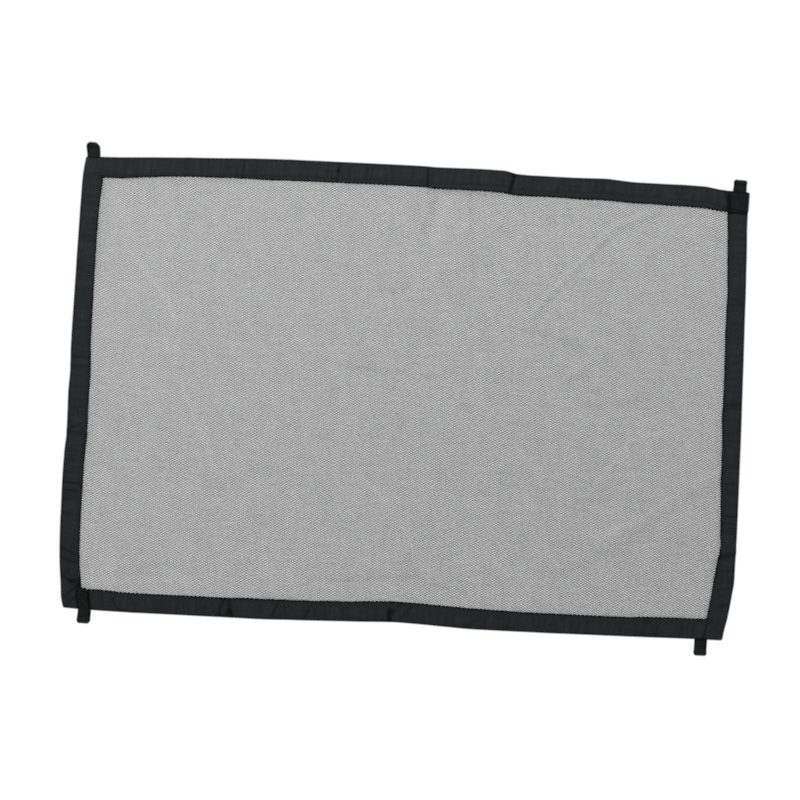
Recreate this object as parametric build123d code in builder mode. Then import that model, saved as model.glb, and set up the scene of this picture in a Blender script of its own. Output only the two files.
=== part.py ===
from build123d import *
import os

# A soft mesh wind screen: a rectangular net, bound on all four edges with folded tape, with a
# short loop of doubled webbing standing out of the top and bottom edges near each corner.
#
# It hangs upright in the XZ plane. +X is the viewer's right, +Z is up and the front faces -Y.
# The origin is the middle of the panel, halfway through the net. Millimetres throughout.

# ---- driving dimensions -------------------------------------------------------------------
panel_width = 1060.0
panel_height = 720.0

net_thickness = 0.4
net_margin = 2.0  # the net stops this far inside the bindings' outer edges

ply_thickness = 0.6  # one layer of the binding tape
back_ply_width = 30.0
front_ply_width = 26.0  # the tape is folded off-centre, so its back ply is wider
lap_step = 1.0  # how far a lapped end runs on past the binding under it

webbing_thickness = 1.0
webbing_width = 20.0
eye_radius = 3.0  # takes a cord or a hook up to 6 mm thick
neck_length = 6.0  # where the two layers of a loop part to go round the eye
leg_length = 32.0  # the sewn end of a loop, from the panel's outer edge inwards
swing_gap = 0.3  # between a loop and the edge that it swings about

stitch_width = 0.8
stitch_height = 0.2
seam_inset = 23.0  # from the panel's outer edge to a seam
seam_end_gap = 1.0
corner_seam_end = 3.0
box_seam_width = 14.0
box_seam_length = 22.0

fold_gap = 0.3  # between the two halves of the panel at the centre fold

# Each loop: the panel's edge, the side of that edge, how far in from the panel's side it is
# sewn, how far it stands out, and the face that carries it, 1 for the back and -1 for the front.
loops = {
    "top_left": ("top", -1, 1.5, 23.5, 1),
    "top_right": ("top", 1, 5.5, 19.0, 1),
    "bottom_left": ("bottom", -1, 25.0, 22.0, -1),
    "bottom_right": ("bottom", 1, 25.0, 26.5, 1),
}

# ---- derived sizes ------------------------------------------------------------------------
half_width = panel_width / 2
half_height = panel_height / 2
net_face = net_thickness / 2
ply_face = net_face + ply_thickness  # outer face of a binding that lies on the net
lap_face = ply_face + ply_thickness  # outer face of a binding that lies on another binding
lap_length = back_ply_width + lap_step
loop_face = lap_face + 2 * webbing_thickness
loop_middle = lap_face + webbing_thickness
pivot_height = webbing_thickness + swing_gap
eye_outer_radius = eye_radius + webbing_thickness

# One plane for each edge of the panel: x runs inwards from the outer edge, y to the back, and
# z along the edge, clockwise as seen from the front, from the middle of that edge.
edges = {
    "top": Plane(origin=(0, 0, half_height), x_dir=(0, 0, -1), z_dir=(1, 0, 0)),
    "right": Plane(origin=(half_width, 0, 0), x_dir=(-1, 0, 0), z_dir=(0, 0, -1)),
    "bottom": Plane(origin=(0, 0, -half_height), x_dir=(0, 0, 1), z_dir=(-1, 0, 0)),
    "left": Plane(origin=(-half_width, 0, 0), x_dir=(1, 0, 0), z_dir=(0, 0, 1)),
}


def save(piece, name):
    """Labels a finished piece and writes it to its own file."""
    piece.part.label = name
    export_step(piece.part, f"parts/{name}.step")


def draw_block(x_start, x_end, y_start, y_end):
    """Draws a rectangle between two corners on the sketch in hand."""
    with Locations(((x_start + x_end) / 2, (y_start + y_end) / 2)):
        Rectangle(x_end - x_start, y_end - y_start)


def make_net(name, start, end):
    """One half of the net, a plain sheet between two places along the top edge."""
    with BuildPart() as net:
        with BuildSketch(edges["top"].offset(start)):
            draw_block(net_margin, panel_height - net_margin, -net_face, net_face)
        extrude(amount=end - start)
    save(net, name)


def make_binding(name, edge, stretches):
    """A tape folded round an edge. A stretch is its start, its end and its inner face."""
    with BuildPart() as tape:
        for start, end, inner in stretches:
            outer = inner + ply_thickness
            with BuildSketch(edges[edge].offset(start)):
                draw_block(0, ply_thickness, -outer, outer)
                draw_block(0, front_ply_width, -outer, -inner)
                draw_block(0, back_ply_width, inner, outer)
            extrude(amount=end - start)
    save(tape, name)


def make_seam(name, edge, start, end, faces):
    """Rows of thread along an edge. Each face is the y of a surface that carries a row."""
    with BuildPart() as seam:
        for face in faces:
            proud = face + stitch_height if face > 0 else face - stitch_height
            with BuildSketch(edges[edge].offset(start)):
                draw_block(
                    seam_inset - stitch_width / 2,
                    seam_inset + stitch_width / 2,
                    min(face, proud),
                    max(face, proud),
                )
            extrude(amount=end - start)
    save(seam, name)


def loop_span(edge, side, inset):
    """The loop's start and end along its edge, in the direction that the edge runs."""
    outer = half_width - inset
    inner = outer - webbing_width
    runs_right = edges[edge].z_dir.X > 0
    return (inner, outer) if (side > 0) == runs_right else (-outer, -inner)


def make_loop(name, edge, side, inset, reach, face):
    """The free part of a loop: two layers side by side, parted at the tip round an eye."""
    start, end = loop_span(edge, side, inset)
    eye = (eye_outer_radius - reach, face * loop_middle)
    neck = (eye[0] + neck_length, eye[1])
    root = (-pivot_height, eye[1])
    with BuildPart() as loop:
        with BuildSketch(edges[edge].offset(start)):
            with Locations(eye):
                Circle(eye_outer_radius)
            with Locations(neck):
                Circle(webbing_thickness)
            make_hull()
            draw_block(
                neck[0], root[0], eye[1] - webbing_thickness, eye[1] + webbing_thickness
            )
            with Locations(root):
                Circle(webbing_thickness)
            with Locations(eye):
                Circle(eye_radius, mode=Mode.SUBTRACT)
        extrude(amount=end - start)
    save(loop, f"loop_{name}")


def make_loop_legs(name, edge, side, inset, reach, face):
    """The sewn part of a loop: both layers, flat against one face of the binding."""
    start, end = loop_span(edge, side, inset)
    near, far = sorted((face * lap_face, face * loop_face))
    with BuildPart() as legs:
        with BuildSketch(edges[edge].offset(start)):
            draw_block(0, leg_length, near, far)
        extrude(amount=end - start)
    save(legs, f"loop_{name}_legs")


def make_loop_stitching(name, edge, side, inset, reach, face):
    """The box of stitches that holds a loop's legs."""
    start, end = loop_span(edge, side, inset)
    surface = edges[edge].offset((start + end) / 2)
    centre = surface.from_local_coords((leg_length / 2, face * loop_face, 0))
    sheet = Plane(origin=centre, x_dir=surface.x_dir, z_dir=surface.y_dir * face)
    with BuildPart() as stitching:
        with BuildSketch(sheet):
            Rectangle(box_seam_length, box_seam_width)
            Rectangle(
                box_seam_length - 2 * stitch_width,
                box_seam_width - 2 * stitch_width,
                mode=Mode.SUBTRACT,
            )
        extrude(amount=stitch_height)
    save(stitching, f"loop_{name}_stitching")


os.makedirs("parts", exist_ok=True)

# ---- the net, in two halves that meet at the centre fold ----
net_half = half_width - net_margin
fold = fold_gap / 2
make_net("net_left", -net_half, -fold)
make_net("net_right", fold, net_half)

# ---- the bindings -------------------------------------------------------------------------
# The bottom binding goes on first, then the two side ones, which lap over its ends, and last
# the top one, which laps over theirs.
lap_end = half_width - lap_length
plain_end = half_width - back_ply_width
make_binding(
    "top_binding_left",
    "top",
    [(-half_width, -lap_end, ply_face), (-plain_end, -fold, net_face)],
)
make_binding(
    "top_binding_right",
    "top",
    [(fold, plain_end, net_face), (lap_end, half_width, ply_face)],
)
bottom_end = half_width - ply_thickness
make_binding("bottom_binding_right", "bottom", [(-bottom_end, -fold, net_face)])
make_binding("bottom_binding_left", "bottom", [(fold, bottom_end, net_face)])

side_top = half_height - ply_thickness
side_plain_end = half_height - back_ply_width
side_lap_end = half_height - lap_length
make_binding(
    "right_binding",
    "right",
    [(-side_top, side_plain_end, net_face), (side_lap_end, half_height, ply_face)],
)
make_binding(
    "left_binding",
    "left",
    [(-half_height, -side_lap_end, ply_face), (-side_plain_end, side_top, net_face)],
)

# ---- the seams along the bindings ----
both_faces = (-ply_face, ply_face)
seam_end = lap_end - seam_end_gap
side_seam_end = side_lap_end - seam_end_gap
make_seam("top_seam_left", "top", -seam_end, -fold, both_faces)
make_seam("top_seam_right", "top", fold, seam_end, both_faces)
make_seam("bottom_seam_right", "bottom", -seam_end, -fold, both_faces)
make_seam("bottom_seam_left", "bottom", fold, seam_end, both_faces)
make_seam("right_seam", "right", -side_seam_end, side_seam_end, both_faces)
make_seam("left_seam", "left", -side_seam_end, side_seam_end, both_faces)

# ---- the short seams that close the lapped corners ----
outer_end = half_width - corner_seam_end
inner_end = half_width - back_ply_width + corner_seam_end
side_outer_end = half_height - corner_seam_end
side_inner_end = half_height - back_ply_width + corner_seam_end
front_lap = (-lap_face,)
make_seam("corner_seam_top_left", "top", -outer_end, -inner_end, front_lap)
make_seam("corner_seam_top_right", "top", inner_end, outer_end, front_lap)
make_seam("corner_seam_bottom_right", "right", side_inner_end, side_outer_end, front_lap)
make_seam("corner_seam_bottom_left", "left", -side_outer_end, -side_inner_end, front_lap)

# ---- the four hanging loops ----
for loop_name, loop_place in loops.items():
    make_loop(loop_name, *loop_place)
    make_loop_legs(loop_name, *loop_place)
    make_loop_stitching(loop_name, *loop_place)
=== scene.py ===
import math

import bmesh
import bpy
import numpy as np
from mathutils import Matrix, Vector


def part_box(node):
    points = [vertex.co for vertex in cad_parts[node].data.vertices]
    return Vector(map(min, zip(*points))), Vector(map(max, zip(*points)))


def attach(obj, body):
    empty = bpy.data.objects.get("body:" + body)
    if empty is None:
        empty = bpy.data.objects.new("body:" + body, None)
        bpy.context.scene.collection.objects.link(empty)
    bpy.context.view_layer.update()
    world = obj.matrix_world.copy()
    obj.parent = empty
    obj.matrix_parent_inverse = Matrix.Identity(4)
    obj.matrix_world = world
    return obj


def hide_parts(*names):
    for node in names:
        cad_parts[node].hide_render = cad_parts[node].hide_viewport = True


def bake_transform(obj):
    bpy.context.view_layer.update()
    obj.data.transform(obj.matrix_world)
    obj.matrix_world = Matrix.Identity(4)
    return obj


# The looks of a soft mesh wind screen: a black net with hexagonal cells, bound on four edges with
# folded tape, with four loops of doubled webbing. Metres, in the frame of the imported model: the
# panel hangs in the XZ plane, +X is the viewer's right, +Z is up and the front faces -Y.
#
# Every piece is first laid out on the flat panel, and worked_cloth() then gives it the pull, the
# folds and the creases of used cloth, the same for all layers, so that they stay on each other.

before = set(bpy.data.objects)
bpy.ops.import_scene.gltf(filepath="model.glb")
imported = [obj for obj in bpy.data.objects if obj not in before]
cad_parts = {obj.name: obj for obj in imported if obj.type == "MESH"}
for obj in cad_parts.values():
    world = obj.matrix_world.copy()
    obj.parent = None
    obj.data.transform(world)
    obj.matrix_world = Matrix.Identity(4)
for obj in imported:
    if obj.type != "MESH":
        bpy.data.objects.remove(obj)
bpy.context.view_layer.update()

MM = 0.001

# ---- sizes from the frame ----
HALF_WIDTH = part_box("right_binding")[1].x
HALF_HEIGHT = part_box("top_binding_right")[1].z
NET_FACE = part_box("net_left")[1].y
PLY_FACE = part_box("bottom_binding_left")[1].y
LAP_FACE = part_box("right_binding")[1].y
TAPE_THICKNESS = PLY_FACE - NET_FACE
NET_MARGIN = HALF_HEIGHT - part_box("net_left")[1].z
BACK_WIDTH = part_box("left_binding")[1].x + HALF_WIDTH
LAP_LENGTH = BACK_WIDTH + 1 * MM  # how far a lapped end lies over the binding under it

# ---- how the cloth is pulled out of its flat rectangle ----
# Each edge's bulge beyond the line between its corners, in millimetres, outwards positive, at
# places from 0 to 1: left to right along the top and bottom, top to bottom along the sides.
TOP_BULGE = ((0, 0), (0.05, 1.5), (0.1, 4.3), (0.2, 8.9), (0.3, 12.5), (0.36, 13.1), (0.5, 14.0),
             (0.53, 13.3), (0.6, 14.3), (0.627, 13.6), (0.65, 9.2), (0.68, 8.3), (0.73, 8.5),
             (0.78, 9.3), (0.83, 6.7), (0.9, 6.7), (0.93, 6.1), (0.96, 1.9), (1, 0))
BOTTOM_BULGE = ((0, 0), (0.06, 2.2), (0.1, 2.6), (0.3, 3.0), (0.35, 2.3), (0.4, 0.9), (0.45, -0.6),
                (0.475, -1.7), (0.5, -2.6), (0.53, -1.8), (0.575, 0.3), (0.625, 2.5), (0.68, 2.7),
                (0.8, 2.0), (0.88, 1.4), (0.95, 0.5), (1, 0.3))
LEFT_BULGE = ((0, 0), (0.025, 2.6), (0.05, 4.4), (0.1, 5.4), (0.2, 6.7), (0.3, 7.6), (0.425, 9.0),
              (0.475, 8.1), (0.525, 9.5), (0.56, 9.2), (0.61, 9.0), (0.65, 10.9), (0.72, 11.8),
              (0.82, 11.4), (0.86, 10.7), (0.9, 9.3), (0.95, 5.8), (0.975, 4.3), (1, 0))
RIGHT_BULGE = ((0, -0.4), (0.03, -0.6), (0.05, -1.3), (0.075, -1.1), (0.125, 0.6), (0.2, 2.2),
               (0.3, 4.1), (0.4, 6.3), (0.5, 7.8), (0.55, 9.3), (0.6, 10.3), (0.7, 11.5),
               (0.82, 12.2), (0.87, 12.0), (0.9, 9.8), (0.95, 5.0), (0.975, 1.3), (1, -1.5))
# How far each corner is pulled to the right and up, in millimetres.
CORNER_PULL = {"top_left": (-1.2, 0.9), "top_right": (2.8, -0.2),
               "bottom_left": (-0.2, -2.4), "bottom_right": (-1.9, 1.7)}

# Folds and wrinkles that stand out of the cloth: a line of (x, z) points, the fold's width and
# its height towards the front, all in millimetres.
FOLDS = (
    ((16, 362), (17, 326), 2.5, 1.2), ((30, 362), (27, 326), 6, -0.9),
    ((143, 365), (160, 322), 9, 3.4), ((176, 362), (188, 326), 7, -1.6),
    ((-8, -362), (-6, -330), (2, -305), 5, 1.4), ((-368, 366), (-360, 330), (-348, 318), 7, 2.0),
    ((-536, 28), (-498, 31), 5, 1.6), ((-540, -79), (-498, -76), 6, 1.8),
    ((540, -214), (505, -222), 6, 2.6), ((538, -262), (500, -250), 7, 1.6),
    ((-524, -337), (-500, -316), 3.2, 1.3), ((-522, -351), (-492, -330), 3.0, 1.1),
    ((-526, -322), (-506, -302), 3.5, 0.9), ((494, 362), (494, 324), 3.0, -1.6),
    ((420, 362), (428, 330), 8, 1.5), ((300, 364), (309, 330), 10, 1.6),
    ((-200, 368), (-196, 330), 14, 1.5), ((-420, -365), (-414, -330), 9, 1.4),
    ((250, -364), (262, -330), 12, 1.8), ((-440, 205), (-385, 140), (-365, 95), 8, 1.6),
    ((-380, 60), (-330, -50), (-290, -130), (-190, -255), 9, 1.8),
    ((370, 303), (320, 282), (230, 190), (185, 135), 8, 2.2), ((160, 120), (280, 90), 7, -1.5),
    ((500, -85), (400, -155), (320, -205), (265, -235), 10, 3.0),
    ((450, -20), (355, -50), (295, -135), 9, 1.8), ((-435, -305), (-365, -270), 8, -1.5),
)

CORNER_ROUND = 3 * MM  # the radius of the panel's corners

# Painted shade on the tape: darker lines in its creases, and painted shadows of its laps: a line
# of (x, z) points and half width in millimetres, and how dark, from 0 to 1.
TAPE_SHADES = (
    ((-400, 362), (-403, 325), 5.2, 0.22), ((-277, 362), (-276, 325), 2.1, 0.52),
    ((-255, 362), (-257, 340), 2, 0.3), ((-126, 362), (-126, 346), 3.2, 0.52),
    ((-126, 346), (-128, 326), 3.2, 0.35), ((16, 362), (18, 322), 2, 0.8),
    ((143, 362), (150, 356), 2.9, 0.45), ((155, 362), (148, 322), 3.3, 0.85),
    ((296, 362), (294, 325), 5.2, 0.22), ((442, 362), (441, 325), 2.6, 0.3),
    ((491, 362), (501, 326), 4, 0.58), ((494, 326), (532, 325), 2.6, 1),
    ((-528, 326), (-500, 326), 3.2, 0.3), ((-438, -360), (-447, -340), 2.9, 0.52),
    ((-281, -362), (-268, -328), 3.9, 0.59), ((-270, -362), (-262, -350), 5.2, 0.52),
    ((-257, -362), (-262, -326), 4.5, 0.5), ((-198, -362), (-184, -335), 2.6, 0.52),
    ((-144, -360), (-131, -338), 2.6, 0.52), ((-115, -362), (-113, -330), 2, 0.3),
    ((-6, -362), (-5, -340), 5.2, 0.78), ((0, -345), (14, -328), 2.6, 0.52),
    ((14, -352), (30, -333), 2.6, 0.52), ((110, -362), (133, -345), 5.2, 0.3),
    ((397, -362), (404, -328), 6, 0.35), ((423, -362), (425, -335), 2, 0.38),
    ((501, -330), (499, -360), 1.7, 0.65), ((-532, 231), (-500, 230), 6.5, 0.22),
    ((-532, 122), (-500, 120), 2.6, 0.22), ((-532, 66), (-505, 66), 3.9, 0.22),
    ((-532, 42), (-498, 40), 2.3, 0.5), ((-530, -77), (-510, -66), 2.9, 0.52),
    ((-532, -160), (-498, -161), 2.1, 0.59), ((-532, -172), (-505, -172), 2.1, 0.52),
    ((-532, -188), (-512, -186), 2.6, 0.38), ((-532, -208), (-515, -208), 2.6, 0.38),
    ((-532, -262), (-505, -274), 3.2, 0.52), ((-532, -280), (-506, -285), 3.9, 0.45),
    ((-532, -304), (-512, -318), 3.2, 0.52), ((-516, -319), (-498, -312), 3.5, 0.25),
    ((-506, -316), (-498, -325), 6.5, 0.4), ((-523, -341), (-503, -322), 3.2, 0.45),
    ((-527, -356), (-508, -343), 2.3, 0.52), ((532, 178), (502, 178), 2.6, 0.3),
    ((532, 126), (502, 127), 2.6, 0.22), ((532, 20), (502, 14), 6.5, 0.48),
    ((532, -110), (504, -110), 3.9, 0.22), ((532, -160), (503, -161), 2.1, 0.52),
    ((532, -172), (505, -172), 2.1, 0.38), ((532, -187), (505, -185), 3.9, 0.3),
    ((532, -216), (503, -228), 6.5, 0.45), ((532, -248), (505, -250), 2.6, 0.3),
    ((532, -300), (505, -310), 3.2, 0.3),
)

# Lines where the net's cells are pulled open (below 0) or crowded (above 0), which reads as a
# lighter or darker line: (x, z) points and half width in millimetres, and the share by which
# the threads look wider.
NET_LINES = (
    ((-490, 328), (-290, 328), 8, 0.09), ((25, 327), (135, 327), 9, 0.18),
    ((345, 328), (490, 328), 7, 0.06), ((-110, 328), (-15, 328), 7, 0.05),
    ((-498, 170), (-498, 320), 6, 0.06), ((499, -320), (499, -235), 4, 0.08),
    ((210, -328), (460, -328), 7, 0.04), ((-440, 205), (-385, 140), (-365, 95), 4, -0.06),
    ((-380, 60), (-330, -50), (-290, -130), 3.5, -0.045), ((-290, -130), (-240, -195), 4, -0.02),
    ((-375, 50), (-337, -50), 3, 0.03),
    ((385, 320), (320, 290), (230, 190), (185, 135), 3.5, -0.055),
    ((390, 311), (323, 281), (235, 183), (192, 130), 4, 0.06),
    ((160, 121), (200, 112), (275, 92), 4, 0.055), ((86, 325), (100, 170), 4, 0.05),
    ((52, 310), (36, 245), 9, -0.045), ((-55, 243), (5, 280), 4, 0.035),
    ((16, 262), (32, 305), 6, 0.07), ((-230, 210), (-85, 195), 4, 0.02),
    ((-46, 167), (-28, 163), 5, 0.07), ((-28, 163), (0, 172), 5, 0.03),
    ((-110, 40), (55, 30), 5, 0.04), ((500, -85), (440, -125), (400, -155), (330, -198), 4, -0.045),
    ((340, -190), (315, -205), 9, -0.05),
    ((500, -103), (430, -155), (360, -205), (270, -262), 10, 0.035),
    ((330, -130), (270, -160), 14, 0.03), ((450, -20), (355, -50), (295, -135), 4, -0.05),
    ((-435, -300), (-365, -280), 8, 0.05), ((-365, -285), (-330, -305), 7, -0.05),
    ((-105, -295), (20, -285), (110, -305), 7, 0.05), ((-65, -130), (-15, -175), 4, -0.06),
    ((295, 0), (380, 15), 5, 0.05), ((260, 40), (315, 80), 6, 0.05),
    ((-300, -155), (-280, -155), 14, 0.03), ((-380, 320), (-375, 285), (-320, 250), 5, 0.05),
)


def smooth_curve(points, places):
    """The smooth curve through (place, value) points, at each of the places. It
    never swings past the points, because it is level wherever they turn back."""
    known, values = np.array(points, float).T
    rise = np.diff(values) / np.diff(known)
    product = rise[:-1] * rise[1:]
    even = np.where(product > 0, 2 * product / np.where(product > 0, rise[:-1] + rise[1:], 1), 0)
    slopes = np.concatenate([rise[:1], even, rise[-1:]])
    i = np.clip(np.searchsorted(known, places) - 1, 0, len(known) - 2)
    span = known[i + 1] - known[i]
    t = np.clip((places - known[i]) / span, 0, 1)
    start = (1 + 2 * t) * (1 - t) ** 2 * values[i] + t * (1 - t) ** 2 * span * slopes[i]
    end = t * t * (3 - 2 * t) * values[i + 1] - t * t * (1 - t) * span * slopes[i + 1]
    return start + end


def smooth_step(x, low, high):
    """0 below low, 1 above high, and a smooth rise between them."""
    t = np.clip((x - low) / (high - low), 0, 1)
    return t * t * (3 - 2 * t)


def ripple(along, longest, seed):
    """An uneven wave of about -1 to 1 along a line, made of a few sines with fixed phases."""
    phases = np.random.default_rng(seed).uniform(0, math.tau, 5)
    total = 0
    for k, phase in enumerate(phases):
        total = total + 0.8**k * np.sin(math.tau * along * 1.63**k / longest + phase)
    return total / 2.2


def distance_to_line(x, z, line):
    """Distance from each place to a line of (x, z) points given in millimetres, in metres."""
    nearest = np.full(np.shape(x), np.inf)
    corners = np.array(line, float) * MM
    for a, b in zip(corners[:-1], corners[1:]):
        run = b - a
        t = np.clip(((x - a[0]) * run[0] + (z - a[1]) * run[1]) / (run @ run), 0, 1)
        nearest = np.minimum(nearest, np.hypot(x - a[0] - t * run[0], z - a[1] - t * run[1]))
    return nearest


def faded_sum(x, z, lines, total=0.0):
    """Adds each line's amount to a total. It is full on the line and fades beside it."""
    for *line, width, amount in lines:
        total = total + amount * np.exp(-((distance_to_line(x, z, line) / (width * MM)) ** 2))
    return total


def tape_shade(flat):
    """The painted shade of creases and the painted shadow of laps on the tape, at flat panel
    points, from 0 to 1.
    """
    return np.clip(faded_sum(flat[:, 0], flat[:, 2], TAPE_SHADES), 0, 1)


def billow(x, z):
    """The slow waves of cloth that nothing pulls tight, towards the front. Calm at the fold."""
    calm = smooth_step(np.abs(x), 5 * MM, 90 * MM)
    # Two slanting ripples make each pattern of hollows. The lengths are in metres.
    slow = ripple(x + 0.4 * z, 0.71, 1) * ripple(z - 0.3 * x, 0.83, 2)
    quick = ripple(0.8 * x - 0.5 * z, 0.26, 3) * ripple(0.4 * x + z, 0.34, 4)
    return calm * (3.0 * slow + 1.2 * quick) * MM


def folds(x, z):
    """How far the folds and wrinkles stand towards the front."""
    return faded_sum(x, z, [(*line, width, rise * MM) for *line, width, rise in FOLDS])


def round_corners(x, z):
    """Flat panel points, with those at its corners drawn in, so that the corners are round."""
    over_x = np.clip(np.abs(x) - (HALF_WIDTH - CORNER_ROUND), 0, None)
    over_z = np.clip(np.abs(z) - (HALF_HEIGHT - CORNER_ROUND), 0, None)
    kept = np.maximum(over_x, over_z) / np.maximum(np.hypot(over_x, over_z), 1e-9)
    beside = (over_x > 0) & (over_z > 0)
    drawn = np.where(beside, 1 - kept, 0)
    return x - np.sign(x) * over_x * drawn, z - np.sign(z) * over_z * drawn


def place_along(edge, along):
    """0 to 1 along an edge: left to right, or top to bottom."""
    if edge in ("top", "bottom"):
        return 0.5 + along / (2 * HALF_WIDTH)
    return 0.5 - along / (2 * HALF_HEIGHT)


def worked_cloth(flat):
    """Takes points on and around the flat panel to where the used cloth has them."""
    x, y, z = np.array(flat, float).reshape(-1, 3).T
    x, z = round_corners(x, z)
    across = np.clip(place_along("top", x), 0, 1)
    down = np.clip(place_along("left", z), 0, 1)
    pull_x = smooth_curve(RIGHT_BULGE, down) * across
    pull_x -= smooth_curve(LEFT_BULGE, down) * (1 - across)
    pull_z = smooth_curve(TOP_BULGE, across) * (1 - down)
    pull_z -= smooth_curve(BOTTOM_BULGE, across) * down
    for corner, (right, up) in CORNER_PULL.items():
        share = 1 - down if "top" in corner else down
        share = share * (1 - across if "left" in corner else across)
        pull_x += share * right
        pull_z += share * up
    forward = billow(x, z) + folds(x, z)
    return np.stack([x + pull_x * MM, y - forward, z + pull_z * MM], 1)


# ---- meshes ----


def add_object(name, data):
    """A new object in the scene."""
    added = bpy.data.objects.new(name, data)
    bpy.context.scene.collection.objects.link(added)
    return added


def make_piece(name, points, face_sets, material, cloth_uv=None, shade=None, close=False):
    """A mesh object from points and arrays of faces. cloth_uv is along and across the cloth, and
    shade is how dark each point is painted, from 0 to 1: painted shade, and parts that are simply
    darker."""
    mesh = bpy.data.meshes.new(name)
    mesh.vertices.add(len(points))
    mesh.vertices.foreach_set("co", np.asarray(points, np.float32).ravel())
    corners = np.concatenate([np.asarray(faces).ravel() for faces in face_sets]).astype(np.int32)
    sizes = np.concatenate([np.full(len(faces), np.shape(faces)[1]) for faces in face_sets])
    mesh.loops.add(len(corners))
    mesh.loops.foreach_set("vertex_index", corners)
    mesh.polygons.add(len(sizes))
    starts = np.concatenate([[0], np.cumsum(sizes)[:-1]]).astype(np.int32)
    mesh.polygons.foreach_set("loop_start", starts)
    mesh.polygons.foreach_set("use_smooth", np.ones(len(sizes), bool))
    if cloth_uv is not None:
        cloth = mesh.attributes.new("cloth", "FLOAT_VECTOR", "POINT")
        cloth.data.foreach_set("vector", np.asarray(cloth_uv, np.float32).ravel())
    if shade is not None:
        dark = mesh.attributes.new("shade", "FLOAT", "POINT")
        dark.data.foreach_set("value", np.asarray(shade, np.float32))
    mesh.update(calc_edges=True)
    if close:
        shell = bmesh.new()
        shell.from_mesh(mesh)
        bmesh.ops.recalc_face_normals(shell, faces=shell.faces)
        shell.to_mesh(mesh)
        shell.free()
    mesh.materials.append(material)
    piece = add_object(name, mesh)
    return piece


def shell_faces(stations, ring):
    """Quads between closed rings of points, and quads that close the first and last ring. The
    ring's second half runs back beside its first, as on a strip with two sides."""
    k, i = np.meshgrid(np.arange(stations - 1), np.arange(ring), indexing="ij")
    a = k * ring + i
    b = k * ring + (i + 1) % ring
    walls = np.stack([a, b, b + ring, a + ring], -1).reshape(-1, 4)
    i = np.arange(ring // 2 - 1)
    cap = np.stack([i, i + 1, ring - 2 - i, ring - 1 - i], -1)
    return np.concatenate([walls, cap, cap[:, ::-1] + (stations - 1) * ring])


def closed_ring(there, back):
    """The rows of a strip's first side, and then those of its second side, read backwards."""
    return np.concatenate([there, back[:, ::-1]], 1)


# ---- materials ----
# Painted shade: the mesh's shade attribute darkens colours, at most down to this share.
DEEPEST_SHADE = 0.12  # what is left of a colour where the shade is 1


def fill_sockets(tree, node, **values):
    """Links a node's inputs to other nodes' outputs, or sets their values. Their names have an
    underscore here for each space."""
    for key, value in values.items():
        socket = node.inputs[key.replace("_", " ")]
        if isinstance(value, bpy.types.NodeSocket):
            tree.links.new(value, socket)
        else:
            socket.default_value = value


def add_node(tree, kind, settings=(), **values):
    """A node with its attributes set from settings and its inputs filled from values."""
    node = tree.nodes.new("ShaderNode" + kind)
    for key, value in dict(settings).items():
        setattr(node, key, value)
    fill_sockets(tree, node, **values)
    return node


def new_material(name, roughness, specular):
    """A material with its constant values on the shader, and its node tree."""
    material = bpy.data.materials.new(name)
    material.use_nodes = True
    tree = material.node_tree
    shader = tree.nodes["Principled BSDF"]
    fill_sockets(tree, shader, Roughness=roughness, Specular_IOR_Level=specular)
    return material, tree, shader


def cloth_vector(tree, scale):
    """The cloth's own along and across coordinates, in metres, times a scale."""
    cloth = add_node(tree, "Attribute", {"attribute_name": "cloth"})
    return add_node(tree, "Mapping", Vector=cloth.outputs["Vector"], Scale=scale).outputs["Vector"]


def add_noise(tree, place, scale, detail):
    """Uneven blotches, about 1 / scale of the place's unit in size."""
    return add_node(tree, "TexNoise", Vector=place, Scale=scale, Detail=detail).outputs["Fac"]


def add_waves(tree, place, direction, pitch, distortion):
    """Ridges that stand about one pitch apart. Blender's own are 0.314 apart at a scale of 1."""
    waves = add_node(
        tree, "TexWave", {"bands_direction": direction},
        Vector=place, Scale=0.314 / pitch, Distortion=distortion,
    )
    return waves.outputs["Fac"]


def colour_between(tree, factor, low, high):
    """A colour that goes from low to high as the factor goes from 0.3 to 0.7."""
    ramp = add_node(tree, "ValToRGB", Fac=factor)
    for stop, position, colour in zip(ramp.color_ramp.elements, (0.3, 0.7), (low, high)):
        stop.position = position
        stop.color = (*colour, 1)
    return ramp.outputs["Color"]


def multiplied(tree, first, second):
    """The product of two colours, or of a colour and a number."""
    kind = {"data_type": "RGBA", "blend_type": "MULTIPLY"}
    return add_node(tree, "Mix", kind, Factor=1.0, A=first, B=second).outputs["Result"]


def add_bump(tree, height, distance, strength, **under):
    """A bump of the height, 0 to 1, times the distance, on top of the Normal under it."""
    bump = add_node(tree, "Bump", Height=height, Distance=distance, Strength=strength, **under)
    return bump.outputs["Normal"]


def ramp_between(tree, value, start, end, at_start, at_end):
    """A number that goes from at_start to at_end as the value goes from start to end."""
    ramp = add_node(
        tree, "MapRange", {"interpolation_type": "SMOOTHSTEP"},
        Value=value, From_Min=start, From_Max=end, To_Min=at_start, To_Max=at_end,
    )
    return ramp.outputs["Result"]


def shaded(tree, colour):
    """The colour, darker where the mesh's shade attribute says, which paints shade into it."""
    shade = add_node(tree, "Attribute", {"attribute_name": "shade"}).outputs["Fac"]
    return multiplied(tree, colour, ramp_between(tree, shade, 0, 1, 1, DEEPEST_SHADE))


def rimmed(tree, colour, place, rim):
    """The colour with painted shade at a band's rim, where it turns away from the light. rim is
    the distances from the band's middle line between which it goes from one brightness to another,
    and those two."""
    apart = add_node(tree, "SeparateXYZ", Vector=place)
    across = add_node(tree, "Math", {"operation": "ABSOLUTE"}, Value=apart.outputs["Y"])
    return multiplied(tree, colour, ramp_between(tree, across.outputs["Value"], *rim))


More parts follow.
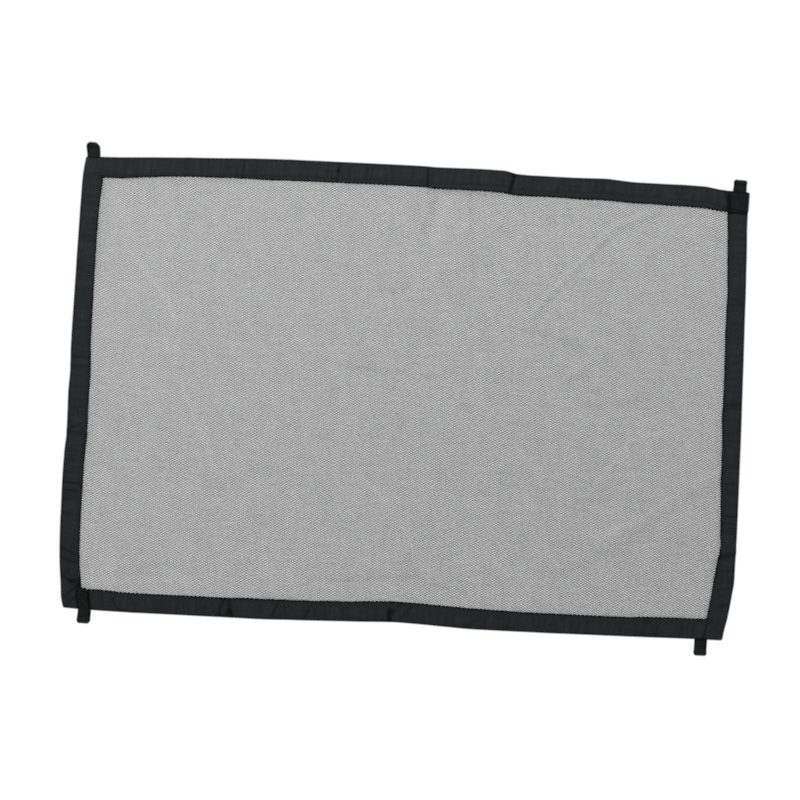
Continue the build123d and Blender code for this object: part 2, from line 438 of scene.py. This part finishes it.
def woven_material(name, dark, light, rib_pitch, yarn_pitch, roughness, specular, rim):
    """A flat woven band: ribs across it, the finer yarns over them, and uneven dye and wear."""
    material, tree, shader = new_material(name, roughness, specular)
    place = cloth_vector(tree, (1, 1, 1))
    ribs = add_waves(tree, place, "X", rib_pitch, 0.6)
    yarns = add_waves(tree, place, "Y", yarn_pitch, 0.8)
    blotches = add_noise(tree, cloth_vector(tree, (3.6, 0.6, 1)), 55, 4)
    scuffs = add_noise(tree, cloth_vector(tree, (25, 700, 1)), 1, 3)
    dye = colour_between(tree, blotches, dark, light)
    wear = colour_between(tree, scuffs, (0.75,) * 3, (1.15,) * 3)
    # Painted shade at the band's rim, and where the mesh's shade attribute says.
    colour = shaded(tree, rimmed(tree, multiplied(tree, dye, wear), place, rim))
    bump = add_bump(tree, ribs, 0.15 * MM, 0.6)
    bump = add_bump(tree, yarns, 0.06 * MM, 0.5, Normal=bump)
    bump = add_bump(tree, blotches, 0.5 * MM, 0.5, Normal=bump)
    fill_sockets(tree, shader, Base_Color=colour, Normal=bump)
    return material


def thread_material(name, dark, light, twist_pitch, roughness, specular):
    """Twisted or knitted thread: fine slanting strands, and lint that makes it uneven."""
    material, tree, shader = new_material(name, roughness, specular)
    place = add_node(tree, "TexCoord").outputs["Object"]
    lint = add_noise(tree, place, 900, 3)
    strands = add_waves(tree, place, "DIAGONAL", twist_pitch, 1.5)
    # Painted shade where the mesh's shade attribute says.
    colour = shaded(tree, colour_between(tree, lint, dark, light))
    bump = add_bump(tree, strands, 0.12 * MM, 0.7)
    fill_sockets(tree, shader, Base_Color=colour, Normal=bump)
    return material


NET_BLACK = thread_material(
    "knitted_net", (0.0092, 0.0102, 0.0106), (0.0185, 0.0205, 0.0212),
    twist_pitch=0.5 * MM, roughness=0.7, specular=0.05,
)
# Painted shade: the tape is darker at its fold, which is its middle line, and the webbing at its
# two edges, where they turn away from the light.
TAPE_BLACK = woven_material(
    "woven_binding_tape", (0.0094, 0.0108, 0.0112), (0.0156, 0.0177, 0.0182),
    rib_pitch=0.9 * MM, yarn_pitch=0.45 * MM, roughness=0.75, specular=0.05,
    rim=(1.0 * MM, 3.8 * MM, 0.1, 1.0),
)
WEBBING_BLACK = woven_material(
    "woven_webbing", (0.0052, 0.0066, 0.0062), (0.0098, 0.0118, 0.0112),
    rib_pitch=1.3 * MM, yarn_pitch=0.8 * MM, roughness=0.8, specular=0.05,
    rim=(6.6 * MM, 9.4 * MM, 1.0, 0.0),
)
THREAD_BLACK = thread_material(
    "sewing_thread", (0.008, 0.0092, 0.0098), (0.020, 0.0225, 0.0235),
    twist_pitch=0.3 * MM, roughness=0.5, specular=0.12,
)

# ---- the plies of the bindings ----
# Each binding's two plies, in millimetres across, at places from 0 to 1 along its edge: left to
# right along the top and bottom, top to bottom along the sides.
FRONT_PLY = {
    "top": ((0, 30), (0.12, 29), (0.3, 27), (0.5, 26), (0.64, 25), (0.8, 23), (0.93, 25), (1, 32)),
    "bottom": ((0, 26), (0.1, 25), (0.3, 24), (0.5, 25), (0.7, 22.5), (0.9, 21), (1, 24)),
    "left": ((0, 28), (0.15, 28), (0.4, 26), (0.6, 28), (0.85, 26), (1, 29)),
    "right": ((0, 25), (0.2, 24), (0.45, 24.5), (0.7, 22.5), (0.85, 21), (1, 24)),
}
BACK_PLY = {
    "top": ((0, 34), (0.06, 33.6), (0.1, 32.3), (0.15, 30.8), (0.22, 31.9), (0.3, 33.8),
            (0.42, 33.2), (0.5, 33.4), (0.56, 34.6), (0.625, 34.9), (0.7, 33.2), (0.78, 34.6),
            (0.84, 33.6), (0.93, 35.4), (0.965, 34), (1, 34.5)),
    "bottom": ((0, 33.5), (0.05, 33.4), (0.11, 31.2), (0.22, 31.1), (0.3, 32.2), (0.4, 31.6),
               (0.5, 33.1), (0.6, 33), (0.7, 31.8), (0.83, 31.0), (0.9, 33.1), (1, 33.5)),
    "left": ((0, 34), (0.05, 33.3), (0.13, 30), (0.27, 30.2), (0.4, 31.5), (0.51, 33.1),
             (0.6, 33), (0.69, 32.9), (0.85, 32), (0.95, 33.2), (1, 34)),
    "right": ((0, 33), (0.05, 32.9), (0.08, 31.5), (0.2, 30.3), (0.23, 29.5), (0.28, 30.2),
              (0.4, 30.3), (0.44, 29.9), (0.5, 31), (0.58, 29.6), (0.62, 29.9), (0.7, 28),
              (0.76, 26.8), (0.785, 25.4), (0.83, 28.8), (0.88, 33), (1, 33.4)),
}


def from_back_ply(x, z, edges=("top", "bottom", "left", "right")):
    """How far a flat panel point is inside the inner edges of the bindings' back plies."""
    measures = {
        "top": (x, HALF_HEIGHT - z), "bottom": (x, HALF_HEIGHT + z),
        "left": (z, HALF_WIDTH + x), "right": (z, HALF_WIDTH - x),
    }
    distances = []
    for edge in edges:
        along, inwards = measures[edge]
        distances.append(inwards - smooth_curve(BACK_PLY[edge], place_along(edge, along)) * MM)
    return np.min(distances, 0)


# ---- the net ----
# Hexagonal cells with a corner at each side. Every cell owns its right and its left corner
# junction, and the three threads that leave the right one. Each junction has three points between
# its threads. The net is knitted with short stout bars, which lie level, and finer slanting legs.
CELL_HEIGHT = 3.79 * MM  # from one cell to the next one above it
COLUMN_STEP = 3.31 * MM  # from one column of cells to the next
CORNER_REACH = 0.81 * COLUMN_STEP  # from a cell's middle to its side corners
HALF_BAR = 0.285 * CELL_HEIGHT  # half the thickness of a level bar
LEG_POINT = 0.12 * COLUMN_STEP  # how far a junction bulges into the cell beside it
COLUMN_LEAN = 0.07  # the columns lean to the left on their way up
CENTRE_STRIP = 106 * MM  # the net is modelled in three parts, and this is half the middle one
PLACE_JITTER = 0.045 * MM  # how far the junctions are out of place
WIDTH_JITTER = 0.02  # the share by which the threads' width changes at each junction
WIDTH_STREAKS = 0.014  # and by which it changes slowly, along the rows and the columns
# Beside the long bindings the rows of cells are gathered: by a share of their height, which they
# recover over one distance while they come back to their place over another. The gathering
# starts a little under the tape, and fades beside the side bindings.
GATHERED = 0.5
GATHER_DEPTH = 5 * MM
GATHER_REACH = 40 * MM
GATHER_START = -2 * MM
GATHER_FADE = 40 * MM


def thread_share(x, z):
    """How wide the threads of the net look, about 1, with its pulled and crowded lines."""
    # They look wider towards the right and the bottom, and beside the tape.
    share = 0.045 * (x / HALF_WIDTH) - 0.057 * (z / HALF_HEIGHT)
    share = faded_sum(x, z, NET_LINES, share)
    share += 0.02 * ripple(x + 0.2 * z, 0.13, 11) * ripple(z, 0.11, 12)
    share += 0.09 * np.exp(-np.clip(from_back_ply(x, z), 0, None) / (6 * MM))
    return 1 + share


def crowded_rows(x, z):
    """How far the rows of cells are drawn towards the long edges, and what is left of their
    height, which is 1 less the slope of the first."""
    inside = from_back_ply(x, z, ("top", "bottom"))
    within = np.clip(inside, 0, None)
    rise = 1 - np.exp(-within / GATHER_DEPTH)
    fall = np.exp(-within / GATHER_REACH)
    moved = GATHERED * (GATHER_DEPTH * rise * fall + np.clip(inside, GATHER_START, 0))
    slope = GATHERED * fall * (1 - rise * (1 + GATHER_DEPTH / GATHER_REACH))
    slope = slope * (inside > GATHER_START)
    fade = smooth_step(HALF_WIDTH - BACK_WIDTH - np.abs(x), 0, GATHER_FADE)
    return np.sign(z) * fade * moved, 1 - fade * slope


def streaks(shape, axis, seed):
    """Uneven knitting: random amounts for the cells, which change slowly along one axis."""
    noise = np.random.default_rng(seed).normal(0, 1, shape)
    kernel = np.hanning(17)  # cells
    kernel /= np.linalg.norm(kernel)
    return np.apply_along_axis(np.convolve, axis, noise, kernel, "same")


def net_points(column, row):
    """The six points of each cell: three about its right junction, three about its left one."""
    x = column * COLUMN_STEP
    z = (row + 0.5 * (column % 2)) * CELL_HEIGHT
    knitting = 1 + WIDTH_STREAKS * streaks(x.shape, 0, 61) + WIDTH_STREAKS * streaks(x.shape, 1, 62)
    points = []
    up, down = (0, HALF_BAR), (0, -HALF_BAR)
    for side, points_about in ((1, (up, (-LEG_POINT, 0), down)), (-1, ((LEG_POINT, 0), up, down))):
        jitter = np.random.default_rng(5 + side)
        middle_x = x + side * CORNER_REACH - COLUMN_LEAN * z
        middle_x = middle_x + jitter.normal(0, PLACE_JITTER, x.shape)
        middle_z = z + jitter.normal(0, PLACE_JITTER, x.shape)
        share = thread_share(middle_x, middle_z) * knitting
        share = share * (1 + jitter.normal(0, WIDTH_JITTER, x.shape))
        moved, height_share = crowded_rows(middle_x, middle_z)
        for right, above in points_about:
            above = share * height_share * above
            point_x = middle_x + share * right - COLUMN_LEAN * above
            points.append(np.stack([point_x, np.zeros(x.shape), middle_z + moved + above], -1))
    return np.stack(points, 2)


def net_faces(number, first_column):
    """The triangles at the junctions and the quads of the threads, from the numbers of the
    cells' points. The last two columns only lend their left junctions."""
    own = len(number) - 2
    triangles = [number[:own, :, 0:3].reshape(-1, 3), number[1:own + 1, :, 3:6].reshape(-1, 3)]
    quads = []
    for k in range(own):
        odd = (first_column + k) % 2  # odd columns stand half a cell higher
        here, beside, level = number[k:k + 3]
        above = beside[odd:]
        here_up = here[:len(above)]
        quads.append(np.stack([here_up[:, 0], above[:, 3], above[:, 5], here_up[:, 1]], -1))
        here_down = here[1 - odd:]
        below = beside[:len(here_down)]
        quads.append(np.stack([here_down[:, 1], below[:, 4], below[:, 3], here_down[:, 2]], -1))
        quads.append(np.stack([here[:, 2], level[:, 5], level[:, 4], here[:, 0]], -1))
    return np.concatenate(triangles), np.concatenate(quads)


def make_net(name, start, end, replaced):
    """The columns of the net whose middles lie from start to end across the panel."""
    net_height = HALF_HEIGHT - NET_MARGIN
    overhang = COLUMN_LEAN * net_height  # columns that only lean in from beside the panel
    first_column = math.ceil((start - overhang if start == -HALF_WIDTH else start) / COLUMN_STEP)
    last_column = math.ceil((end + overhang if end == HALF_WIDTH else end) / COLUMN_STEP)
    rows = int(net_height / CELL_HEIGHT) - 1
    columns = np.arange(first_column, last_column + 2)
    column, row = np.meshgrid(columns, np.arange(-rows, rows + 1), indexing="ij")
    flat = net_points(column, row).reshape(-1, 3)
    number = np.arange(len(flat)).reshape(*column.shape, 6)
    inside = np.abs(flat[:, 0]) < HALF_WIDTH - NET_MARGIN
    inside &= np.abs(flat[:, 2]) < net_height
    faces = [group[inside[group].all(1)] for group in net_faces(number, first_column)]
    used = np.unique(np.concatenate([group.ravel() for group in faces]))
    renumber = np.zeros(len(flat), int)
    renumber[used] = np.arange(len(used))
    faces = [renumber[group] for group in faces]
    flat = flat[used]
    # Painted shade: the net is darker along the inner edges of the tape, on both sides of them, and
    # it takes the tape's painted crease shade.
    inside_ply = from_back_ply(flat[:, 0], flat[:, 2])
    rim = smooth_step(inside_ply, -3.5 * MM, -1.5 * MM) * smooth_step(-inside_ply, -3 * MM, -1 * MM)
    shade = np.clip(tape_shade(flat) + 0.85 * rim, 0, 1)
    piece = make_piece(name, worked_cloth(flat), faces, NET_BLACK, shade=shade)
    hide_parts(*replaced)
    return piece


net_left = make_net("net_left_part", -HALF_WIDTH, -CENTRE_STRIP, ["net_left"])
net_centre = make_net("net_centre_part", -CENTRE_STRIP, CENTRE_STRIP, ["net_left", "net_right"])
net_right = make_net("net_right_part", CENTRE_STRIP, HALF_WIDTH, ["net_right"])


def bend_at_centre_fold(piece):
    """Bakes the place of a piece that runs over the centre fold into its mesh."""
    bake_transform(piece)


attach(net_left, "left_half")
bend_at_centre_fold(net_centre)
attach(net_right, "right_half")

# ---- the bindings ----
SEAM_FROM_EDGE = 2.5 * MM  # from the front ply's inner edge to the seam
STATION_STEP = 1.5 * MM  # between the rings of points along the tape


def on_edge(edge, along, inwards, y):
    """Flat panel points from an edge's own measures: x or z along it, and inwards from it."""
    along, inwards, y = np.broadcast_arrays(along, inwards, y)
    x, z = {
        "top": (along, HALF_HEIGHT - inwards), "bottom": (along, inwards - HALF_HEIGHT),
        "left": (inwards - HALF_WIDTH, along), "right": (HALF_WIDTH - inwards, along),
    }[edge]
    return np.stack([x, y, z], -1)


def seam_distance(edge, along):
    """How far a binding's seam runs from the panel's outer edge."""
    return smooth_curve(FRONT_PLY[edge], place_along(edge, along)) * MM - SEAM_FROM_EDGE


def lap_rise(edge, along):
    """How far a binding lies above the net's own layer, where its end laps over another one."""
    if edge == "bottom":
        return 0 * along
    step = 5 * MM  # the tape climbs onto the other one over this
    towards, end = (np.abs(along), HALF_WIDTH) if edge == "top" else (-along, HALF_HEIGHT)
    start = end - LAP_LENGTH - step
    return TAPE_THICKNESS * smooth_step(towards, start, start + step)


def lap_lift(edge, along):
    """How far the free inner edge of the front ply stands off, most at the top right corner."""
    lift = 0.03 * MM * (1 + ripple(along, 0.21, 21))
    if edge == "top":
        # At the right and the left end, in millimetres: how far it stands off, and how far
        # from the panel's side it does so in full.
        for side, height, full in ((1, 2.2, 12), (-1, 0.15, 20)):
            rise = smooth_step(side * along, HALF_WIDTH - 34 * MM, HALF_WIDTH - full * MM)
            lift = lift + height * MM * rise
    return lift


def make_binding(edge, replaced):
    """The tape folded round one edge of the panel, as one closed shell."""
    end = HALF_WIDTH if edge in ("top", "bottom") else HALF_HEIGHT
    if edge == "bottom":
        end = end - TAPE_THICKNESS
    stations = int(2 * end / STATION_STEP)
    along = np.linspace(-end, end, stations)[:, None]
    place = place_along(edge, along)
    # The widths of the two plies, whose inner edges wander a little.
    front = smooth_curve(FRONT_PLY[edge], place) * MM + 0.3 * MM * ripple(along, 0.09, 31)
    back = smooth_curve(BACK_PLY[edge], place) * MM + 0.3 * MM * ripple(along, 0.12, 32)
    seam = seam_distance(edge, along)
    inner = NET_FACE + lap_rise(edge, along)
    outer = inner + TAPE_THICKNESS
    # Across one ply, from beside the seam to where the fold starts.
    shares = np.linspace(0.88, 0.08, 11)

    def ply(width):
        near_seam = [width, width - 0.7 * MM, seam + 1.1 * MM, seam, seam - 1.1 * MM]
        return np.concatenate([*near_seam, seam * shares, outer], 1)

    def puffed(distance, face):
        """The face's height, drawn in along the seam and a little full between the seams."""
        full = 0.12 * MM * np.sin(math.pi * np.clip(distance / seam, 0, 1))
        drawn = 0.1 * MM * np.exp(-(((distance - seam) / (1 * MM)) ** 2))
        return face + full - drawn

    turn = np.radians([-60, -30, 0, 30, 60])[None, :]
    front_line, back_line = ply(front), ply(back)[:, ::-1]
    lift = lap_lift(edge, along) * np.clip(front_line / front, 0, 1) ** 5
    # The tape is pressed thinner towards its selvage.
    pressed = 0.45 * MM * smooth_step(front_line, front - 5 * MM, front)
    outside = np.concatenate([front_line, outer - outer * np.cos(turn), back_line], 1)
    inside = np.concatenate([front_line, outer - inner * np.cos(turn), back_line], 1)
    front_face = pressed - puffed(front_line, outer) - lift
    outside_y = np.concatenate([front_face, outer * np.sin(turn), puffed(back_line, outer)], 1)
    level = inner * np.ones_like(front_line)
    inside_y = np.concatenate([-level - lift, inner * np.sin(turn), level], 1)

    inwards = closed_ring(outside, inside)
    y = closed_ring(outside_y, inside_y)
    along_all = along * np.ones_like(inwards)
    flat = on_edge(edge, along_all, inwards, y).reshape(-1, 3)
    tape_across = np.sign(y) * inwards
    cloth_uv = np.stack([along_all, tape_across, 0 * inwards], -1)
    # Painted shade: the back ply is darker at its inner edge, where the net meets it. The top
    # binding's front is also darker where it laps over the right one.
    rim = 0.9 * smooth_step(inwards, back - 3 * MM, back - 1 * MM) * (tape_across > -front)
    shade = tape_shade(flat) + rim.ravel()
    if edge == "top":
        lapped = smooth_step(flat[:, 0], HALF_WIDTH - 36 * MM, HALF_WIDTH - 33 * MM)
        shade += 0.58 * lapped * (flat[:, 1] < 0)
    faces = shell_faces(stations, inwards.shape[1])
    piece = make_piece(
        f"{edge}_binding_tape", worked_cloth(flat), [faces], TAPE_BLACK,
        cloth_uv.reshape(-1, 3), np.clip(shade, 0, 1), close=True,
    )
    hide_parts(*replaced)
    return piece


for edge in ("top", "bottom"):
    bend_at_centre_fold(make_binding(edge, [f"{edge}_binding_left", f"{edge}_binding_right"]))
for side in ("left", "right"):
    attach(make_binding(side, [f"{side}_binding"]), f"{side}_half")

# ---- stitching ----
STITCH_PITCH = 3.5 * MM
STITCH_LENGTH = 2.9 * MM
STITCH_RADIUS = 0.28 * MM
STITCH_SIDES = 6
STITCH_RINGS = 5
SEAM_SINK = 0.12 * MM  # how deep a seam's thread lies in the tape
BOX_SINK = 0.1 * MM  # and how deep a box's thread lies in the webbing


def make_stitches(name, starts, ends, lift, replaced):
    """Short beads of thread on flat panel points. Each bead arches from its start to its end,
    and lift is the way out of the cloth there, 1 for the back and -1 for the front."""
    starts, ends = np.asarray(starts, float), np.asarray(ends, float)
    lift = np.broadcast_to(lift, len(starts))
    run = ends - starts
    across = np.cross(run, [0, 1, 0])
    across /= np.linalg.norm(across, axis=1)[:, None]
    out = np.zeros_like(run)
    out[:, 1] = lift
    points = []
    for t in np.linspace(0, 1, STITCH_RINGS):
        # A bead is thinner at its ends, which dip into the cloth, and wider than it is high.
        girth = STITCH_RADIUS * (0.35 + 0.65 * math.sin(math.pi * (0.08 + 0.84 * t)))
        rise = 0.6 * STITCH_RADIUS * math.sin(math.pi * t) - 0.15 * STITCH_RADIUS
        for angle in np.linspace(0, math.tau, STITCH_SIDES, endpoint=False):
            middle = starts + run * t
            side = across * girth * math.cos(angle) * 1.25
            points.append(middle + side + out * (rise + girth * math.sin(angle)))
    points = np.stack(points, 1).reshape(-1, 3)
    first = np.arange(len(starts)) * STITCH_RINGS * STITCH_SIDES
    faces = (shell_faces(STITCH_RINGS, STITCH_SIDES) + first[:, None, None]).reshape(-1, 4)
    piece = make_piece(name, worked_cloth(points), [faces], THREAD_BLACK, close=True)
    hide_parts(*replaced)
    return piece


def seam_line(edge, start, end):
    """Stitch starts and ends along a binding's seam, on both faces, and each one's way out."""
    count = int((end - start) / STITCH_PITCH)
    middle = start + (np.arange(count) + 0.5) * (end - start) / count
    starts, ends, lift = [], [], []
    for way in (-1, 1):
        for reach, group in ((-0.5, starts), (0.5, ends)):
            along = middle + reach * STITCH_LENGTH
            y = way * (PLY_FACE - SEAM_SINK) * np.ones(count)
            if way < 0:
                y = y - lap_lift(edge, along) * 0.5
            group.append(on_edge(edge, along, seam_distance(edge, along), y))
        lift.append(np.full(count, way))
    return np.concatenate(starts), np.concatenate(ends), np.concatenate(lift)


SEAM_END = HALF_WIDTH - LAP_LENGTH - 6 * MM
SIDE_SEAM_END = HALF_HEIGHT - LAP_LENGTH - 6 * MM
for edge in ("top", "bottom"):
    long_seam = make_stitches(
        f"{edge}_seam_thread", *seam_line(edge, -SEAM_END, SEAM_END),
        [f"{edge}_seam_left", f"{edge}_seam_right"],
    )
    bend_at_centre_fold(long_seam)
for side in ("left", "right"):
    side_seam = make_stitches(
        f"{side}_seam_thread", *seam_line(side, -SIDE_SEAM_END, SIDE_SEAM_END), [f"{side}_seam"]
    )
    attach(side_seam, f"{side}_half")


def run_of_stitches(corners):
    """Stitch starts and ends along straight runs between flat panel points."""
    starts, ends = [], []
    corners = np.asarray(corners, float)
    for a, b in zip(corners[:-1], corners[1:]):
        length = np.linalg.norm(b - a)
        count = max(1, round(length / STITCH_PITCH))
        for middle in (np.arange(count) + 0.5) / count:
            half = 0.5 * STITCH_LENGTH / length
            starts.append(a + (b - a) * (middle - half))
            ends.append(a + (b - a) * (middle + half))
    return starts, ends


for corner in CORNER_PULL:
    side = "left" if "left" in corner else "right"
    edge = "top" if "top" in corner else side
    low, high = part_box(f"corner_seam_{corner}")
    along = (low.x, high.x) if edge == "top" else (low.z, high.z)
    y = SEAM_SINK - LAP_FACE - 0.45 * lap_lift(edge, along[0])
    run = run_of_stitches(on_edge(edge, along, seam_distance(edge, along[0]), y))
    seam = make_stitches(f"corner_seam_{corner}_thread", *run, -1, [f"corner_seam_{corner}"])
    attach(seam, f"{side}_half")

# ---- the hanging loops ----
# Across each loop, in millimetres: the width at its root and near its tip, how round its tip
# is, how far the free part stands to the right of its place and how much more its tip does, how
# much the tip's right corner is nearer to the panel than its left one, and how much the legs are
# longer than the sewn box.
LOOP_LOOKS = {
    "top_left": (21.0, 21.6, 9.2, 0, -2.2, 1.2, 0),
    "top_right": (21.8, 20.4, 4.0, 0, 0.5, 0, 0),
    "bottom_left": (21.2, 21.4, 6.4, 0.4, -0.9, 0.3, 2.5),
    "bottom_right": (20.6, 20.4, 5.0, 1.1, -0.2, 0, 0),
}
# How dark the free part of each loop is, from 0 to 1.
LOOP_SHADE = {"top_left": 0.1, "top_right": 0, "bottom_left": 0.25, "bottom_right": 0}
EYE_RADIUS = 3 * MM
NECK_LENGTH = 6 * MM


def make_loop(name):
    """One strip of webbing, folded in half round its eye, with both ends sewn to the panel."""
    free_low, free_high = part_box(f"loop_{name}")
    legs_low, legs_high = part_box(f"loop_{name}_legs")
    upwards = 1 if "top" in name else -1
    reach = free_high.z - HALF_HEIGHT if upwards > 0 else -HALF_HEIGHT - free_low.z
    middle_x = (legs_low.x + legs_high.x) / 2
    middle_y = (legs_low.y + legs_high.y) / 2
    looks = (value * MM for value in LOOP_LOOKS[name])
    root_width, tip_width, roundness, shift, lean, slope, more = looks
    leg = legs_high.z - legs_low.z + more
    # Half of one layer's thickness, and half the distance between the layers' middles.
    half_thick = (legs_high.y - legs_low.y) / 4
    eye_height = reach - EYE_RADIUS - 2 * half_thick
    bulge = EYE_RADIUS + half_thick

    # The strip's middle line, as height above the edge and depth from the loop's middle.
    straight = np.linspace(-leg, eye_height - NECK_LENGTH, 26)
    neck = np.linspace(0, 1, 7)[1:]
    neck_depth = half_thick + (bulge - half_thick) * neck * neck * (3 - 2 * neck)
    turn = np.radians(np.linspace(90, -90, 15))[1:-1]
    up_height = np.concatenate([straight, eye_height - NECK_LENGTH * (1 - neck)])
    up_depth = np.concatenate([np.full(len(straight), half_thick), neck_depth])
    height = np.concatenate([up_height, eye_height + bulge * np.cos(turn), up_height[::-1]])
    depth = np.concatenate([up_depth, bulge * np.sin(turn), -up_depth[::-1]])
    tangent = np.stack([np.gradient(height), np.gradient(depth)], 1)
    tangent /= np.linalg.norm(tangent, axis=1)[:, None]

    # Half the width at each station: it grows to the tip, whose corners are rounded.
    rise = smooth_step(height, 0, reach * 0.7)
    half = 0.5 * (root_width + (tip_width - root_width) * rise)
    corner = np.clip(roundness - np.minimum(reach - height, height + leg), 0, roundness)
    half = half - roundness + np.sqrt(roundness**2 - corner**2)
    half = np.where(height < 0, half + 0.25 * MM * ripple(height, 0.03, 41), half)
    centre = (middle_x + shift + lean * smooth_step(height, 0, reach))[:, None]

    # Across the strip: a flat band with soft, slightly thicker edges.
    shares = np.array([-1, -0.985, -0.93, -0.6, -0.2, 0.2, 0.6, 0.93, 0.985, 1])
    fullness = np.array([0.45, 0.85, 1.08, 0.98, 0.94, 0.94, 0.98, 1.08, 0.85, 0.45])
    side_x = centre + half[:, None] * shares
    offset = half_thick * fullness
    out_h, out_y = offset * tangent[:, 1:2], offset * tangent[:, 0:1]
    ring_x = closed_ring(side_x, side_x)
    ring_h = closed_ring(height[:, None] + out_h, height[:, None] - out_h)
    ring_h -= slope * (ring_x - centre) / tip_width * smooth_step(ring_h, 0, reach)
    ring_y = closed_ring(depth[:, None] - out_y, depth[:, None] + out_y)
    flat = np.stack([ring_x, middle_y + ring_y, upwards * (HALF_HEIGHT + ring_h)], -1)
    travelled = np.concatenate([[0], np.cumsum(np.hypot(np.diff(height), np.diff(depth)))])
    everywhere = np.ones_like(ring_x)
    cloth_uv = np.stack([travelled[:, None] * everywhere, ring_x - middle_x, 0 * ring_x], -1)

    # Painted shade darkens the tip, where the webbing turns away from the light. The legs on the
    # panel are darker than the free part, and each free part is darkened by its own amount.
    at_tip = smooth_step(height, reach - 3.2 * MM, reach - 1.2 * MM)
    on_panel = smooth_step(-height, 0, 2 * MM)
    shade = np.maximum.reduce([0.7 * at_tip, 0.48 * on_panel, LOOP_SHADE[name] + 0 * height])
    shade = (shade[:, None] * everywhere).ravel()
    piece = make_piece(
        f"loop_{name}_webbing", worked_cloth(flat.reshape(-1, 3)), [shell_faces(*ring_x.shape)],
        WEBBING_BLACK, cloth_uv.reshape(-1, 3), shade, close=True,
    )
    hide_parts(f"loop_{name}", f"loop_{name}_legs")
    half_body = "left_half" if "left" in name else "right_half"
    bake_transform(piece)
    way = 1 if middle_y > 0 else -1
    sew_box(name, half_body, way, legs_high.y if way > 0 else legs_low.y)


def sew_box(name, half_body, way, face):
    """The box of stitches that holds a loop's legs, with a cross in it. way is the way out of
    the cloth there, and face is the depth of the legs' outer face."""
    box_low, box_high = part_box(f"loop_{name}_stitching")
    inset = 0.5 * MM
    left, right = box_low.x + inset, box_high.x - inset
    bottom, top = box_low.z + inset, box_high.z - inset
    y = face - way * BOX_SINK
    box = [(left, y, bottom), (right, y, bottom), (right, y, top), (left, y, top)]
    starts, ends = [], []
    for run in ([*box, box[0]], box[0::2], box[1::2]):
        more_starts, more_ends = run_of_stitches(run)
        starts += more_starts
        ends += more_ends
    stitching = make_stitches(
        f"loop_{name}_stitching_thread", starts, ends, way, [f"loop_{name}_stitching"]
    )
    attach(stitching, half_body)


for corner in CORNER_PULL:
    make_loop(corner)

# ---- the pale floor, the light and the camera ----


def make_stage():
    """A pale floor under the hanging screen, bright enough to meet the white surroundings."""
    half, level = 6.0, -HALF_HEIGHT - 0.1
    mesh = bpy.data.meshes.new("floor")
    corners = [(-half, -half, level), (half, -half, level), (half, half, level)]
    mesh.from_pydata([*corners, (-half, half, level)], [], [(0, 1, 2, 3)])
    material, tree, shader = new_material("pale_floor", 0.9, 0.1)
    fill_sockets(
        tree, shader, Base_Color=(0.02, 0.02, 0.02, 1),
        Emission_Color=(1, 1, 1, 1), Emission_Strength=0.985,
    )
    mesh.materials.append(material)
    add_object("floor", mesh)


def make_light(name, place, size, watts):
    """A soft area light that points at the middle of the panel."""
    lamp = bpy.data.lights.new(name, "AREA")
    lamp.size = size
    lamp.energy = watts
    light = add_object(name, lamp)
    light.location = place
    light.rotation_euler = (-Vector(place)).to_track_quat("-Z", "Y").to_euler()


def make_world():
    """White surroundings, dimmer as a light than as a background."""
    world = bpy.data.worlds.new("white_studio")
    bpy.context.scene.world = world
    world.use_nodes = True
    tree = world.node_tree
    seen = tree.nodes["Background"]
    fill_sockets(tree, seen, Color=(1, 1, 1, 1), Strength=1.0)
    lighting = add_node(tree, "Background", Color=(0.98, 0.99, 1, 1), Strength=0.4)
    rays = add_node(tree, "LightPath")
    mix = add_node(tree, "MixShader")
    tree.links.new(rays.outputs["Is Camera Ray"], mix.inputs[0])
    tree.links.new(lighting.outputs[0], mix.inputs[1])
    tree.links.new(seen.outputs[0], mix.inputs[2])
    fill_sockets(tree, tree.nodes["World Output"], Surface=mix.outputs[0])


def make_camera():
    """Straight at the front, from where the panel hangs a little turned in the view."""
    lens, sensor = 80.0, 36.0
    view_width = 1.2806  # metres across the view at the panel
    roll = math.radians(3.07)
    right = Vector((math.cos(roll), 0, math.sin(roll)))
    up = Vector((-math.sin(roll), 0, math.cos(roll)))
    # The panel's middle is a little right of the view's middle and a little above it.
    aim = -right * 9.0 * MM - up * 1.3 * MM
    distance = view_width * lens / sensor
    camera_data = bpy.data.cameras.new("camera")
    camera_data.lens = lens
    camera_data.sensor_width = sensor
    camera = add_object("camera", camera_data)
    turned = Matrix((right, up, Vector((0, -1, 0)))).transposed().to_4x4()
    camera.matrix_world = Matrix.Translation(aim + Vector((0, -distance, 0))) @ turned
    bpy.context.scene.camera = camera


make_stage()
make_world()
make_light("key_light", (-0.6, -1.6, 2.0), size=0.9, watts=80)
make_light("fill_light", (1.6, -2.2, 0.9), size=1.6, watts=20)
make_light("back_light", (0.6, 2.2, 1.4), size=1.4, watts=30)
make_camera()
bpy.context.scene.view_settings.view_transform = "Standard"
bpy.context.scene.cycles.use_denoising = False
bpy.context.scene.cycles.filter_width = 2.15  # pixels, so that cells near a pixel wide stay even
